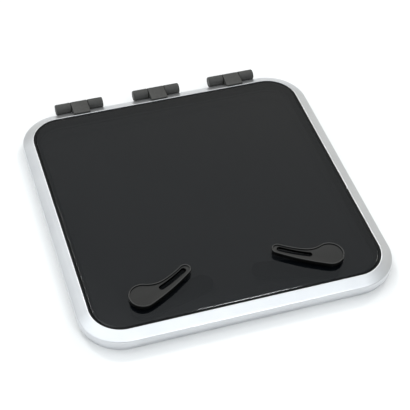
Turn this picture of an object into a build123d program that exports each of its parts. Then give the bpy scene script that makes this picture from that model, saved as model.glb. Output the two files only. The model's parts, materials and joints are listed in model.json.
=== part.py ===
"""Deck hatch for a boat: a smoked pane in an aluminium lid, hinged on a low aluminium base.

Millimetres, +Z up, +Y towards the hinges. The origin is the centre of the base's
underside, so z = 0 is the deck.
"""
from build123d import *
from math import atan2, cos, degrees, hypot, radians, sin, sqrt
import os

os.makedirs("parts", exist_ok=True)

# ---------------------------------------------------------------- driving dimensions
LID_HALF = 250.0            # half of the lid's outer width
HATCH_TOP = 32.0            # deck to the top of the pane
CORNER_CENTRE = 183.0       # every rounded corner turns about this point
OPENING_HALF = 219.7        # half of the clear opening
RUN_CLEARANCE = 0.05        # radial play of a shaft in its bore
BODY_GAP = 0.3              # space between two bodies that pass each other

# Base
BASE_HALF = 245.0
FLANGE_THICK = 3.0
RIM_THICK = 2.5
RIM_HEIGHT = 9.5
COAMING_THICK = 3.0
COAMING_HEIGHT = 15.0
DECK_SCREW_HALF = 232.5     # the row of deck screws
DECK_SCREW_CORNER = 160.0
DECK_SCREW_RADIUS = 2.75
DECK_SCREW_HEAD = 5.0

# Lid
POCKET_HALF = 232.0         # inner edge of the lip round the pane
LIP_WIDTH = 1.0
FOLD_DROP = 7.9             # how far the bevel falls from the lip to the side
FOLD_RADIUS = 2.5
SKIRT_BOTTOM = 12.0
SKIRT_THICK = 3.0
POCKET_WALL = 2.8
SKIN_THICK = 2.5
LEDGE_BOTTOM = 18.5
LEDGE_TOP = 21.5
GASKET_WIDTH = 6.2
GASKET_RADIUS = 2.0

# Pane
PANE_HALF = 228.5
PANE_THICK = 10.0
PANE_BEVEL = 2.0
SEALANT_TOP = 31.2
SEALANT_FALL = 1.7          # how far the bead's top falls towards the pane

# Hinges
HINGE_XS = {"left": -137.3, "centre": 0.0, "right": 137.3}
AXIS_Y = 260.0
AXIS_Z = 26.4
BARREL_RADIUS = 9.0
BARREL_EDGE = 0.6
LEAF_HALF = 14.3            # half width of the leaf and its knuckle
KNUCKLE_START = 15.3        # inner end of the two outer knuckles
KNUCKLE_END = 40.0
CAP_THICK = 1.2
CAP_RADIUS = 8.6
CAP_PLUG_RADIUS = 3.9
PIN_RADIUS = 4.0
PIN_HALF = 38.5
BUSH_RADIUS = 5.5
WASHER_RADIUS = 6.6
LEAF_FRONT = 234.5
LEAF_FRONT_TOP = 34.6
LEAF_NOSE = 0.8
WEB_FRONT = 251.0
WEB_BACK = 257.0
WEB_TOP = 14.5              # of the web under the middle knuckle
FOOT_BOTTOM = 1.5
FOOT_TOP = 11.3
BRACKET_SCREW_X = 27.0
BRACKET_SCREW_Z = 6.4
LEAF_SCREW_X = 8.0
LEAF_SCREW_Y = 243.5
M4_RADIUS = 2.0
M4_HOLE_RADIUS = 2.15
M4_HEAD_RADIUS = 3.0
M4_HEAD_THICK = 2.2

# Locks
LOCK_X = 149.0
LOCK_Y = -185.0
SPINDLE_RADIUS = 6.0
PANE_HOLE_RADIUS = 10.2
THREAD_RADIUS = 10.0        # outside of the threaded bush
BUSH_FLANGE_RADIUS = 20.0
BUSH_FLANGE_THICK = 1.6
SEAL_THICK = 0.5
OUTER_SEAL_RADIUS = 19.0
INNER_SEAL_RADIUS = 16.0
NUT_ACROSS_FLATS = 31.0
NUT_BOTTOM = 15.6
LOCK_BUSH_BOTTOM = 15.0
HANDLE_BOTTOM = 34.4
HANDLE_TOP = 41.6
HUB_RADIUS = 21.7
TIP_RADIUS = 9.2
TIP_REACH = 81.0
HANDLE_ANGLE = 23.0         # from the front edge of the hatch
FRONT_ARC_RADIUS = 380.0
NECK = (42.0, 4.6)          # narrowest place of the handle's hollow side
HANDLE_EDGE = 0.9
FACE_INSET = 1.9
FACE_DEPTH = 2.2
SLOT_WIDTH = 8.2
SLOT_POINTS = ((31.7, -4.9), (54.0, -3.5), (78.2, 0.5))
TOP_SQUARE = 9.0
TOP_SQUARE_HEIGHT = 3.9
BOTTOM_SQUARE = 8.0
O_RING_Z = 28.0
O_RING_SECTION = 0.70
O_RING_GROOVE_RADIUS = 4.6
O_RING_GROOVE_HALF = 0.9
INNER_BOTTOM = 3.0
INNER_HUB_RADIUS = 19.0
INNER_HUB_TOP = 14.0
INNER_LEVER_TOP = 9.0
INNER_END_RADIUS = 17.0
INNER_REACH = 103.0
INNER_ANGLE = 13.0
INNER_EDGE = 1.5
TONGUE_WIDTH = 18.0
TONGUE_REACH = 31.0
TONGUE_BOTTOM = 3.5
TONGUE_TOP = 8.0
SCREW_POCKET_RADIUS = 7.2
SCREW_POCKET_TOP = 6.2
M5_CORE_RADIUS = 2.1
M5_HOLE_RADIUS = 2.6
M5_HEAD_RADIUS = 4.5
M5_WASHER_RADIUS = 6.5
M5_WASHER_THICK = 1.0
M5_SCREW_TOP = 16.0
SPRING_WASHER_RADIUS = 9.5
SPRING_WASHER_THICK = 0.9

# Keepers, the shelves that the tongues pull up against
KEEPER_HALF = 24.0
KEEPER_THICK = 2.5
KEEPER_BOTTOM = 3.4
KEEPER_TOP = 14.6
SHELF_HALF = 13.0
SHELF_REACH = 10.7
SHELF_BOTTOM = 8.5
KEEPER_SCREW_X = 19.5
KEEPER_SCREW_Z = 8.0
KEEPER_SCREW_RADIUS = 1.6
KEEPER_HEAD_RADIUS = 3.0
KEEPER_HEAD_THICK = 1.6
DRIVE_DEPTH = 1.2           # depth of the screws' hexagon sockets
DRIVE_SHARE = 0.5           # socket radius as a share of the head's

# ---------------------------------------------------------------- derived places
BEVEL_TOP = (POCKET_HALF + LIP_WIDTH, HATCH_TOP)
BEVEL_BOTTOM = (LID_HALF, HATCH_TOP - FOLD_DROP)
BEVEL_RUN = BEVEL_BOTTOM[0] - BEVEL_TOP[0]
BEVEL_LENGTH = hypot(BEVEL_RUN, FOLD_DROP)
BEVEL_NORMAL = (FOLD_DROP / BEVEL_LENGTH, BEVEL_RUN / BEVEL_LENGTH)
BEVEL_SLOPE = FOLD_DROP / BEVEL_RUN
PANE_BOTTOM = HATCH_TOP - PANE_THICK
LOCK_XS = {"left": -LOCK_X, "right": LOCK_X}
COAMING_FACE_Y = -OPENING_HALF
WASHER_THICK = KNUCKLE_START - LEAF_HALF - 2 * RUN_CLEARANCE


def bevel_height(half_width, depth=0.0):
    """Height of the bevel at a half width, or of the skin's inside, depth below it."""
    return BEVEL_BOTTOM[1] + (LID_HALF - half_width) * BEVEL_SLOPE - depth / BEVEL_NORMAL[1]


def save(piece, name):
    """Label a finished piece and write it as one node."""
    piece.label = name
    export_step(piece, f"parts/{name}.step")


def save_group(pieces, name):
    """Write identical fasteners as one node of separate solids."""
    save(Compound(children=list(pieces)), name)


def save_pair(piece, name):
    """Write a left-hand piece and its mirror image on the right."""
    save(piece, f"{name}_left")
    save(mirror(piece, about=Plane.YZ), f"{name}_right")


def ring_path():
    """Closed path along the lid's outer edge, from the middle of the front side."""
    quarter_turns = [(CORNER_CENTRE, -CORNER_CENTRE), (CORNER_CENTRE, CORNER_CENTRE)]
    quarter_turns += [(-CORNER_CENTRE, CORNER_CENTRE), (-CORNER_CENTRE, -CORNER_CENTRE)]
    radius = LID_HALF - CORNER_CENTRE
    with BuildLine() as path:
        end = Vector(0, -LID_HALF)
        for turn, centre in enumerate(quarter_turns):
            corner = CenterArc(centre, radius, 90 * turn - 90, 90, mode=Mode.PRIVATE)
            Line(end, corner @ 0)
            add(corner)
            end = corner @ 1
        Line(end, (0, -LID_HALF))
    return path.line


def carry_round(section_points, rounded=None, radius=0.0):
    """Sweep a (half width, height) section round the hatch, with one corner rounded."""
    with BuildSketch(Plane.YZ) as section:
        Polygon(*[(-half, height) for half, height in section_points], align=None)
        if rounded:
            fillet(section.vertices().sort_by_distance((0, -rounded[0], rounded[1]))[0], radius)
    sweep(sections=section.sketch, path=ring_path())


def socket_screw(plane, head_radius, head_thick, shank_radius, length):
    """Cap screw whose head stands on the plane and whose shank runs along its normal."""
    with BuildPart() as screw:
        with BuildSketch(plane):
            Circle(head_radius)
        extrude(amount=-head_thick)
        with BuildSketch(plane):
            Circle(shank_radius)
        extrude(amount=length)
        with BuildSketch(plane.offset(-head_thick)):
            RegularPolygon(head_radius * DRIVE_SHARE, 6)
        extrude(amount=DRIVE_DEPTH, mode=Mode.SUBTRACT)
    return screw.part


def flat_ring(centre, bottom, thick, inner, outer):
    """Washer or flat seal lying level round an upright axis."""
    with BuildPart() as ring:
        with BuildSketch(Plane((centre[0], centre[1], bottom))):
            Circle(outer)
            Circle(inner, mode=Mode.SUBTRACT)
        extrude(amount=thick)
    return ring.part


def near(planes, x, reach):
    """The planes whose origins lie within reach of x."""
    return [plane for plane in planes if abs(plane.origin.X - x) < reach]


# ---------------------------------------------------------------- base
def bracket_screw_planes():
    """Seats of the hinge bracket screws, on the inside of the base's rim."""
    seat_y = BASE_HALF - RIM_THICK
    places = [x + side * BRACKET_SCREW_X for x in HINGE_XS.values() for side in (-1, 1)]
    return [Plane((x, seat_y, BRACKET_SCREW_Z), z_dir=(0, 1, 0)) for x in places]


def keeper_screw_planes():
    """Seats of the keeper screws, pointing forward into the coaming."""
    seat_y = COAMING_FACE_Y + KEEPER_THICK
    places = [x + side * KEEPER_SCREW_X for x in LOCK_XS.values() for side in (-1, 1)]
    return [Plane((x, seat_y, KEEPER_SCREW_Z), z_dir=(0, -1, 0)) for x in places]


def make_base_frame():
    """Ring with a deck flange, a low outer rim and the coaming that the gasket meets."""
    corner, half = DECK_SCREW_CORNER, DECK_SCREW_HALF
    screw_rows = [(x, y) for x in (-corner, 0, corner) for y in (-half, half)]
    screw_rows += [(x, y) for x in (-half, half) for y in (-corner, 0, corner)]
    with BuildPart() as base_frame:
        carry_round([
            (OPENING_HALF, 0),
            (BASE_HALF, 0),
            (BASE_HALF, RIM_HEIGHT),
            (BASE_HALF - RIM_THICK, RIM_HEIGHT),
            (BASE_HALF - RIM_THICK, FLANGE_THICK),
            (OPENING_HALF + COAMING_THICK, FLANGE_THICK),
            (OPENING_HALF + COAMING_THICK, COAMING_HEIGHT),
            (OPENING_HALF, COAMING_HEIGHT),
        ])
        with Locations(*[(x, y, FLANGE_THICK) for x, y in screw_rows]):
            CounterSinkHole(DECK_SCREW_RADIUS, DECK_SCREW_HEAD, FLANGE_THICK)
        with Locations(*bracket_screw_planes()):
            Cylinder(M4_HOLE_RADIUS, 4 * RIM_THICK, mode=Mode.SUBTRACT)
        with Locations(*keeper_screw_planes()):
            Cylinder(KEEPER_SCREW_RADIUS, 4 * COAMING_THICK, mode=Mode.SUBTRACT)
    save(base_frame.part, "base_frame")


def make_keepers():
    """Angle plates on the front coaming, each with a shelf over its tongue."""
    for side, x in LOCK_XS.items():
        back_y = COAMING_FACE_Y + KEEPER_THICK
        with BuildPart() as keeper:
            with BuildSketch(Plane.XZ.offset(-COAMING_FACE_Y)):
                with Locations((x, (KEEPER_BOTTOM + KEEPER_TOP) / 2)):
                    RectangleRounded(2 * KEEPER_HALF, KEEPER_TOP - KEEPER_BOTTOM, 2 * KEEPER_THICK)
            extrude(amount=-KEEPER_THICK)
            with BuildSketch(Plane.XY.offset(SHELF_BOTTOM)):
                with Locations((x, (back_y + COAMING_FACE_Y + SHELF_REACH) / 2)):
                    Rectangle(2 * SHELF_HALF, SHELF_REACH - KEEPER_THICK)
            extrude(amount=KEEPER_THICK)
            fillet(keeper.edges().filter_by(Axis.Z).group_by(Axis.Y)[-1], KEEPER_THICK)
            with Locations(*near(keeper_screw_planes(), x, KEEPER_HALF)):
                Cylinder(KEEPER_SCREW_RADIUS, 4 * KEEPER_THICK, mode=Mode.SUBTRACT)
        save(keeper.part, f"keeper_{side}")
    length = KEEPER_THICK + COAMING_THICK
    screws = [
        socket_screw(plane, KEEPER_HEAD_RADIUS, KEEPER_HEAD_THICK, KEEPER_SCREW_RADIUS, length)
        for plane in keeper_screw_planes()
    ]
    save_group(screws, "keeper_screws")


# ---------------------------------------------------------------- lid
def leaf_screw_planes():
    """Seats of the leaf screws, inside the lid's skin and square to its bevel."""
    seat_y = LEAF_SCREW_Y - BEVEL_NORMAL[0] * SKIN_THICK
    seat_z = bevel_height(LEAF_SCREW_Y) - BEVEL_NORMAL[1] * SKIN_THICK
    places = [x + side * LEAF_SCREW_X for x in HINGE_XS.values() for side in (-1, 1)]
    return [Plane((x, seat_y, seat_z), z_dir=(0, *BEVEL_NORMAL)) for x in places]


def make_lid_frame():
    """Ring with a lip round the pane, a bevel, an outer skirt and a ledge under the pane."""
    pocket_back = POCKET_HALF + POCKET_WALL
    skirt_inside = LID_HALF - SKIRT_THICK
    with BuildPart() as lid_frame:
        carry_round(
            [
                (OPENING_HALF, LEDGE_BOTTOM),
                (OPENING_HALF, LEDGE_TOP),
                (POCKET_HALF, LEDGE_TOP),
                (POCKET_HALF, HATCH_TOP),
                BEVEL_TOP,
                BEVEL_BOTTOM,
                (LID_HALF, SKIRT_BOTTOM),
                (skirt_inside, SKIRT_BOTTOM),
                (skirt_inside, bevel_height(skirt_inside, SKIN_THICK)),
                (pocket_back, bevel_height(pocket_back, SKIN_THICK)),
                (pocket_back, LEDGE_BOTTOM),
            ],
            rounded=BEVEL_BOTTOM,
            radius=FOLD_RADIUS,
        )
        with Locations(*leaf_screw_planes()):
            Cylinder(M4_HOLE_RADIUS, 4 * SKIN_THICK, mode=Mode.SUBTRACT)
    save(lid_frame.part, "lid_frame")


def make_pane():
    """Smoked pane with a bevelled top edge and a hole for each lock."""
    side = 2 * PANE_HALF
    with BuildPart() as pane:
        with BuildSketch(Plane.XY.offset(PANE_BOTTOM)):
            RectangleRounded(side, side, PANE_HALF - CORNER_CENTRE)
            with Locations(*[(x, LOCK_Y) for x in LOCK_XS.values()]):
                Circle(PANE_HOLE_RADIUS, mode=Mode.SUBTRACT)
        extrude(amount=PANE_THICK)
        outer_edge = pane.faces().sort_by(Axis.Z)[-1].outer_wire().edges()
        chamfer(outer_edge, PANE_BEVEL)
    save(pane.part, "pane")


def make_pane_sealant():
    """Sealant cured under the pane's rim and up its edge, as one ring."""
    with BuildPart() as sealant:
        carry_round([
            (OPENING_HALF, LEDGE_TOP),
            (POCKET_HALF, LEDGE_TOP),
            (POCKET_HALF, SEALANT_TOP),
            (PANE_HALF, SEALANT_TOP - SEALANT_FALL),
            (PANE_HALF, PANE_BOTTOM),
            (OPENING_HALF, PANE_BOTTOM),
        ])
    save(sealant.part, "pane_sealant")


def make_lid_gasket():
    """Rubber ring under the ledge, a little above the coaming."""
    bottom = COAMING_HEIGHT + BODY_GAP
    with BuildPart() as lid_gasket:
        carry_round([
            (OPENING_HALF, LEDGE_BOTTOM),
            (OPENING_HALF, bottom + GASKET_RADIUS / 2),
            (OPENING_HALF + GASKET_RADIUS / 2, bottom),
            (OPENING_HALF + GASKET_WIDTH - GASKET_RADIUS, bottom),
            (OPENING_HALF + GASKET_WIDTH, bottom + GASKET_RADIUS),
            (OPENING_HALF + GASKET_WIDTH, LEDGE_BOTTOM),
        ])
    save(lid_gasket.part, "lid_gasket")


# ---------------------------------------------------------------- hinges
def make_hinge_base(side, x):
    """Bracket on the base's rim that carries the two outer knuckles."""
    with BuildPart() as hinge_base:
        with BuildSketch(Plane.YZ.offset(x - KNUCKLE_END)):
            with Locations((AXIS_Y, AXIS_Z)):
                Circle(BARREL_RADIUS)
        extrude(amount=2 * KNUCKLE_END)
        chamfer(hinge_base.edges().filter_by(GeomType.CIRCLE), BARREL_EDGE)
        with BuildSketch(Plane.YZ.offset(x - KNUCKLE_END + BARREL_EDGE)):
            Polygon(
                (WEB_FRONT, FOOT_BOTTOM),
                (WEB_BACK, FOOT_BOTTOM),
                (WEB_BACK, AXIS_Z),
                (WEB_FRONT, AXIS_Z),
                align=None,
            )
        extrude(amount=2 * (KNUCKLE_END - BARREL_EDGE))
        with BuildSketch(Plane.YZ.offset(x - KNUCKLE_START)):
            with Locations((AXIS_Y, (WEB_TOP + AXIS_Z + 2 * BARREL_RADIUS) / 2)):
                Rectangle(4 * BARREL_RADIUS, AXIS_Z + 2 * BARREL_RADIUS - WEB_TOP)
        extrude(amount=2 * KNUCKLE_START, mode=Mode.SUBTRACT)
        with BuildSketch(Plane.YZ.offset(x - KNUCKLE_END + BARREL_EDGE)):
            with Locations(((BASE_HALF + WEB_BACK) / 2, (FOOT_BOTTOM + FOOT_TOP) / 2)):
                Rectangle(WEB_BACK - BASE_HALF, FOOT_TOP - FOOT_BOTTOM)
        extrude(amount=2 * (KNUCKLE_END - BARREL_EDGE))
        with BuildSketch(Plane.YZ.offset(x - KNUCKLE_END)):
            with Locations((AXIS_Y, AXIS_Z)):
                Circle(PIN_RADIUS)
        extrude(amount=2 * KNUCKLE_END, mode=Mode.SUBTRACT)
        for plane in near(bracket_screw_planes(), x, KNUCKLE_END):
            with BuildSketch(plane.offset(RIM_THICK)):
                Circle(M4_RADIUS)
            extrude(amount=WEB_FRONT - BASE_HALF, mode=Mode.SUBTRACT)
    save(hinge_base.part, f"hinge_base_{side}")


def make_hinge_leaf(side, x):
    """Middle knuckle with the plate that lies over the lid's border."""
    with BuildPart() as hinge_leaf:
        with BuildSketch(Plane.YZ.offset(x - LEAF_HALF)):
            Polygon(
                (AXIS_Y, AXIS_Z + BARREL_RADIUS),
                (LEAF_FRONT + LEAF_NOSE, LEAF_FRONT_TOP),
                (LEAF_FRONT, LEAF_FRONT_TOP - LEAF_NOSE),
                (LEAF_FRONT, bevel_height(LEAF_FRONT)),
                BEVEL_BOTTOM,
                (LID_HALF + FOLD_RADIUS, bevel_height(LID_HALF + FOLD_RADIUS)),
                (AXIS_Y, AXIS_Z),
                align=None,
            )
            with Locations((AXIS_Y, AXIS_Z)):
                Circle(BARREL_RADIUS)
                Circle(BUSH_RADIUS, mode=Mode.SUBTRACT)
        extrude(amount=2 * LEAF_HALF)
        for plane in near(leaf_screw_planes(), x, LEAF_HALF):
            with BuildSketch(plane.offset(SKIN_THICK)):
                Circle(M4_RADIUS)
            extrude(amount=2 * SKIN_THICK, mode=Mode.SUBTRACT)
    save(hinge_leaf.part, f"hinge_leaf_{side}")


def make_hinge_pin(side, x):
    """Steel pin held by the outer knuckles."""
    with BuildPart() as hinge_pin:
        with BuildSketch(Plane.YZ.offset(x - PIN_HALF)):
            with Locations((AXIS_Y, AXIS_Z)):
                Circle(PIN_RADIUS)
        extrude(amount=2 * PIN_HALF)
    save(hinge_pin.part, f"hinge_pin_{side}")


def make_hinge_bush(side, x):
    """Friction bush in the middle knuckle, running on the pin."""
    with BuildPart() as hinge_bush:
        with BuildSketch(Plane.YZ.offset(x - LEAF_HALF)):
            with Locations((AXIS_Y, AXIS_Z)):
                Circle(BUSH_RADIUS)
                Circle(PIN_RADIUS + RUN_CLEARANCE, mode=Mode.SUBTRACT)
        extrude(amount=2 * LEAF_HALF)
    save(hinge_bush.part, f"hinge_bush_{side}")


def make_hinge_washer(start):
    """Thrust washer between the middle knuckle and an outer one."""
    with BuildPart() as washer:
        with BuildSketch(Plane.YZ.offset(start)):
            with Locations((AXIS_Y, AXIS_Z)):
                Circle(WASHER_RADIUS)
                Circle(PIN_RADIUS, mode=Mode.SUBTRACT)
        extrude(amount=WASHER_THICK)
    return washer.part


def make_hinge_cap(outer_x, outward):
    """Plug-in cap over the end of an outer knuckle."""
    with BuildPart() as cap:
        with BuildSketch(Plane((outer_x, AXIS_Y, AXIS_Z), z_dir=(outward, 0, 0))):
            Circle(CAP_RADIUS)
        extrude(amount=CAP_THICK)
        chamfer(cap.faces().sort_by(Axis.X)[-1 if outward > 0 else 0].edges(), CAP_THICK / 2)
        with BuildSketch(Plane((outer_x, AXIS_Y, AXIS_Z), z_dir=(-outward, 0, 0))):
            Circle(CAP_PLUG_RADIUS)
        extrude(amount=KNUCKLE_END - PIN_HALF)
    return cap.part


def make_hinges():
    """Three friction hinges, and the small pieces that they share."""
    for side, x in HINGE_XS.items():
        make_hinge_base(side, x)
        make_hinge_leaf(side, x)
        make_hinge_pin(side, x)
        make_hinge_bush(side, x)
        starts = (x - KNUCKLE_START, x + KNUCKLE_START - WASHER_THICK)
        washers = [make_hinge_washer(start) for start in starts]
        save_group(washers, f"hinge_washers_{side}")
        caps = [make_hinge_cap(x + outward * KNUCKLE_END, outward) for outward in (-1, 1)]
        save_group(caps, f"hinge_caps_{side}")
    bracket_length = RIM_THICK + WEB_FRONT - BASE_HALF
    bracket_screws = [
        socket_screw(plane, M4_HEAD_RADIUS, M4_HEAD_THICK, M4_RADIUS, bracket_length)
        for plane in bracket_screw_planes()
    ]
    save_group(bracket_screws, "hinge_bracket_screws")
    leaf_screws = [
        socket_screw(plane, M4_HEAD_RADIUS, M4_HEAD_THICK, M4_RADIUS, 3 * SKIN_THICK)
        for plane in leaf_screw_planes()
    ]
    save_group(leaf_screws, "hinge_leaf_screws")


# ---------------------------------------------------------------- locks
def arc_between(centre, start, end):
    """Arc about a centre, the short way from start to end."""
    start_angle = degrees(atan2(start[1] - centre[1], start[0] - centre[0]))
    end_angle = degrees(atan2(end[1] - centre[1], end[0] - centre[0]))
    turn = (end_angle - start_angle + 180) % 360 - 180
    return CenterArc(centre, hypot(start[0] - centre[0], start[1] - centre[1]), start_angle, turn)


def towards(centre, target, distance):
    """Point at a distance from the centre on the way to the target."""
    span = hypot(target[0] - centre[0], target[1] - centre[1])
    return tuple(c + (t - c) * distance / span for c, t in zip(centre, target))


def handle_outline():
    """Face of the outer handle: hub and tip circles joined by a full side and a hollow side.

    The hub is at (0, 0) and the tip at (TIP_REACH, 0). The full side is one large arc
    that holds both circles. The hollow side is two arcs that meet at the neck, one
    touching the hub from outside and one touching the tip from outside.
    """
    hub, tip = (0.0, 0.0), (TIP_REACH, 0.0)
    hub_gap = FRONT_ARC_RADIUS - HUB_RADIUS
    tip_gap = FRONT_ARC_RADIUS - TIP_RADIUS
    front_x = (hub_gap**2 - tip_gap**2 + TIP_REACH**2) / (2 * TIP_REACH)
    front_centre = (front_x, sqrt(hub_gap**2 - front_x**2))
    front_hub = towards(front_centre, hub, FRONT_ARC_RADIUS)
    front_tip = towards(front_centre, tip, FRONT_ARC_RADIUS)
    neck_x, neck_y = NECK
    hub_arc = (neck_x**2 + neck_y**2 - HUB_RADIUS**2) / (2 * (HUB_RADIUS - neck_y))
    tip_run = TIP_REACH - neck_x
    tip_arc = (tip_run**2 + neck_y**2 - TIP_RADIUS**2) / (2 * (TIP_RADIUS - neck_y))
    hub_side = (neck_x, neck_y + hub_arc)
    tip_side = (neck_x, neck_y + tip_arc)
    back_hub = towards(hub, hub_side, HUB_RADIUS)
    back_tip = towards(tip, tip_side, TIP_RADIUS)
    hub_back = (-HUB_RADIUS, 0.0)
    tip_front = (TIP_REACH + TIP_RADIUS, 0.0)
    with BuildLine() as outline:
        arc_between(hub, front_hub, hub_back)
        arc_between(hub, hub_back, back_hub)
        arc_between(hub_side, back_hub, NECK)
        arc_between(tip_side, NECK, back_tip)
        arc_between(tip, back_tip, tip_front)
        arc_between(tip, tip_front, front_tip)
        arc_between(front_centre, front_tip, front_hub)
    return make_face(outline.edges(), mode=Mode.PRIVATE)


def lock_plane(height, angle=0.0):
    """Level plane at the left lock, with its x axis turned from the hatch's front edge."""
    along = (cos(radians(angle)), sin(radians(angle)), 0)
    return Plane((-LOCK_X, LOCK_Y, height), x_dir=along, z_dir=(0, 0, 1))


def make_outer_handles():
    """Moulded handle on top of the pane, with a raised rim and a curved finger slot."""
    bottom = lock_plane(HANDLE_BOTTOM, HANDLE_ANGLE)
    top = lock_plane(HANDLE_TOP, HANDLE_ANGLE)
    outline = handle_outline()
    with BuildPart() as outer_handle:
        with BuildSketch(bottom):
            add(outline)
        extrude(amount=HANDLE_TOP - HANDLE_BOTTOM)
        fillet(outer_handle.faces().sort_by(Axis.Z)[-1].edges(), HANDLE_EDGE)
        with BuildSketch(top):
            add(offset(outline, -FACE_INSET, mode=Mode.PRIVATE))
        extrude(amount=-FACE_DEPTH, mode=Mode.SUBTRACT)
        with BuildSketch(bottom):
            with BuildLine():
                slot_middle = ThreePointArc(*SLOT_POINTS)
            SlotArc(slot_middle, SLOT_WIDTH)
        extrude(amount=HANDLE_TOP - HANDLE_BOTTOM, mode=Mode.SUBTRACT)
        with BuildSketch(bottom):
            Rectangle(TOP_SQUARE, TOP_SQUARE)
        extrude(amount=TOP_SQUARE_HEIGHT, mode=Mode.SUBTRACT)
    save_pair(outer_handle.part, "outer_handle")


def make_spindles():
    """Spindle with a square at each end and a groove for its ring seal."""
    with BuildPart() as spindle:
        with BuildSketch(lock_plane(INNER_HUB_TOP)):
            Circle(SPINDLE_RADIUS)
        extrude(amount=HANDLE_BOTTOM - INNER_HUB_TOP)
        with BuildSketch(lock_plane(HANDLE_BOTTOM, HANDLE_ANGLE)):
            Rectangle(TOP_SQUARE, TOP_SQUARE)
        extrude(amount=TOP_SQUARE_HEIGHT)
        with BuildSketch(lock_plane(SCREW_POCKET_TOP)):
            Rectangle(BOTTOM_SQUARE, BOTTOM_SQUARE)
        extrude(amount=INNER_HUB_TOP - SCREW_POCKET_TOP)
        with BuildSketch(lock_plane(SCREW_POCKET_TOP)):
            Circle(M5_CORE_RADIUS)
        extrude(amount=M5_SCREW_TOP - SCREW_POCKET_TOP, mode=Mode.SUBTRACT)
        with BuildSketch(lock_plane(O_RING_Z - O_RING_GROOVE_HALF)):
            Circle(SPINDLE_RADIUS)
            Circle(O_RING_GROOVE_RADIUS, mode=Mode.SUBTRACT)
        extrude(amount=2 * O_RING_GROOVE_HALF, mode=Mode.SUBTRACT)
    save_pair(spindle.part, "spindle")


def make_spindle_seals():
    """Ring seal in the spindle's groove."""
    middle_radius = SPINDLE_RADIUS + RUN_CLEARANCE / 2 - O_RING_SECTION
    with BuildPart() as ring_seal:
        with BuildSketch(Plane((-LOCK_X, LOCK_Y, O_RING_Z), x_dir=(1, 0, 0), z_dir=(0, -1, 0))):
            with Locations((middle_radius, 0)):
                Circle(O_RING_SECTION)
        revolve(axis=Axis((-LOCK_X, LOCK_Y, 0), (0, 0, 1)))
    save_pair(ring_seal.part, "spindle_ring_seal")


def make_inner_handles():
    """Inside handle: a hub, a wide lever and the tongue that locks under the keeper."""
    lever_end = lock_plane(INNER_BOTTOM, INNER_ANGLE)
    with BuildPart() as inner_handle:
        with BuildSketch(lever_end):
            with BuildLine():
                reach = INNER_REACH
                lean = (INNER_HUB_RADIUS - INNER_END_RADIUS) / reach
                rise = sqrt(1 - lean**2)
                hub_top = (INNER_HUB_RADIUS * lean, INNER_HUB_RADIUS * rise)
                end_top = (reach + INNER_END_RADIUS * lean, INNER_END_RADIUS * rise)
                Line(hub_top, end_top)
                ThreePointArc(end_top, (reach + INNER_END_RADIUS, 0), (end_top[0], -end_top[1]))
                Line((end_top[0], -end_top[1]), (hub_top[0], -hub_top[1]))
                ThreePointArc((hub_top[0], -hub_top[1]), (-INNER_HUB_RADIUS, 0), hub_top)
            make_face()
        extrude(amount=INNER_LEVER_TOP - INNER_BOTTOM)
        fillet(inner_handle.faces().sort_by(Axis.Z)[0].edges(), INNER_EDGE)
        with BuildSketch(lock_plane(INNER_LEVER_TOP)):
            Circle(INNER_HUB_RADIUS - INNER_EDGE)
        extrude(amount=INNER_HUB_TOP - INNER_LEVER_TOP)
        with BuildSketch(lock_plane(TONGUE_BOTTOM)):
            with Locations((0, -TONGUE_REACH / 2)):
                Rectangle(TONGUE_WIDTH, TONGUE_REACH)
            Circle(TONGUE_REACH, mode=Mode.INTERSECT)
        extrude(amount=TONGUE_TOP - TONGUE_BOTTOM)
        with BuildSketch(lock_plane(INNER_BOTTOM)):
            Circle(SCREW_POCKET_RADIUS)
        extrude(amount=SCREW_POCKET_TOP - INNER_BOTTOM, mode=Mode.SUBTRACT)
        with BuildSketch(lock_plane(SCREW_POCKET_TOP)):
            Rectangle(BOTTOM_SQUARE, BOTTOM_SQUARE)
        extrude(amount=INNER_HUB_TOP - SCREW_POCKET_TOP, mode=Mode.SUBTRACT)
    save_pair(inner_handle.part, "inner_handle")


def make_lock_bushes():
    """Threaded bush through the pane, with the flange that the handle turns on."""
    flange_bottom = HATCH_TOP + SEAL_THICK
    with BuildPart() as lock_bush:
        with BuildSketch(lock_plane(LOCK_BUSH_BOTTOM)):
            Circle(THREAD_RADIUS)
        extrude(amount=flange_bottom - LOCK_BUSH_BOTTOM)
        with BuildSketch(lock_plane(flange_bottom)):
            Circle(BUSH_FLANGE_RADIUS)
        extrude(amount=BUSH_FLANGE_THICK)
        chamfer(lock_bush.faces().sort_by(Axis.Z)[-1].edges(), BUSH_FLANGE_THICK / 3)
        with BuildSketch(lock_plane(LOCK_BUSH_BOTTOM)):
            Circle(SPINDLE_RADIUS + RUN_CLEARANCE)
        extrude(amount=HANDLE_BOTTOM - LOCK_BUSH_BOTTOM, mode=Mode.SUBTRACT)
    save_pair(lock_bush.part, "lock_bush")


def make_lock_nuts():
    """Thin hexagon nut that clamps the bush to the pane."""
    top = PANE_BOTTOM - SEAL_THICK
    with BuildPart() as lock_nut:
        with BuildSketch(lock_plane(NUT_BOTTOM)):
            RegularPolygon(NUT_ACROSS_FLATS / 2, 6, major_radius=False)
            Circle(THREAD_RADIUS, mode=Mode.SUBTRACT)
        extrude(amount=top - NUT_BOTTOM)
    save_pair(lock_nut.part, "lock_nut")


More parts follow.
